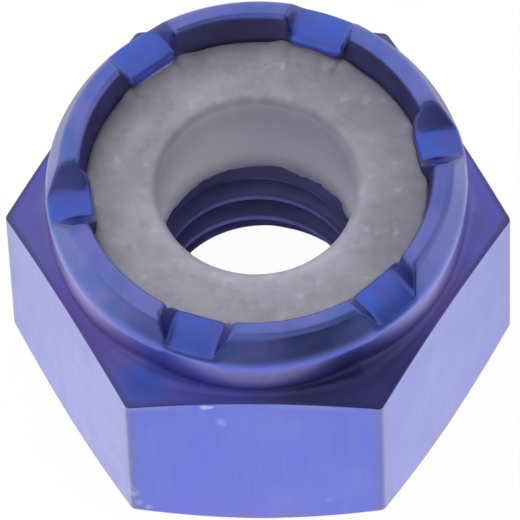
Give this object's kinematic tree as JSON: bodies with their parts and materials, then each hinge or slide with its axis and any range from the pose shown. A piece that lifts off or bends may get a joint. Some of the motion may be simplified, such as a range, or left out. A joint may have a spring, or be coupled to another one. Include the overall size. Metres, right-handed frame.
{
  "type": "hexagon lock nut",
  "caption": "Blue anodised hexagon lock nut with a pale plastic locking ring held in its staked collar.",
  "frame": {"origin": "centre of the bearing face, on the thread's axis", "axes": "+Z along the thread's axis from the bearing face to the collar; one flat of the hexagon faces -Y, so two corners lie on the X axis"},
  "size_m": [0.0064, 0.0054, 0.0041],
  "materials": {
    "blue_metal": "satin blue anodised",
    "ring_plastic": "matte off-white"
  },
  "bodies": {
    "root": {"nut_body": "blue_metal", "locking_ring": "ring_plastic"}
  },
  "joints": []
}
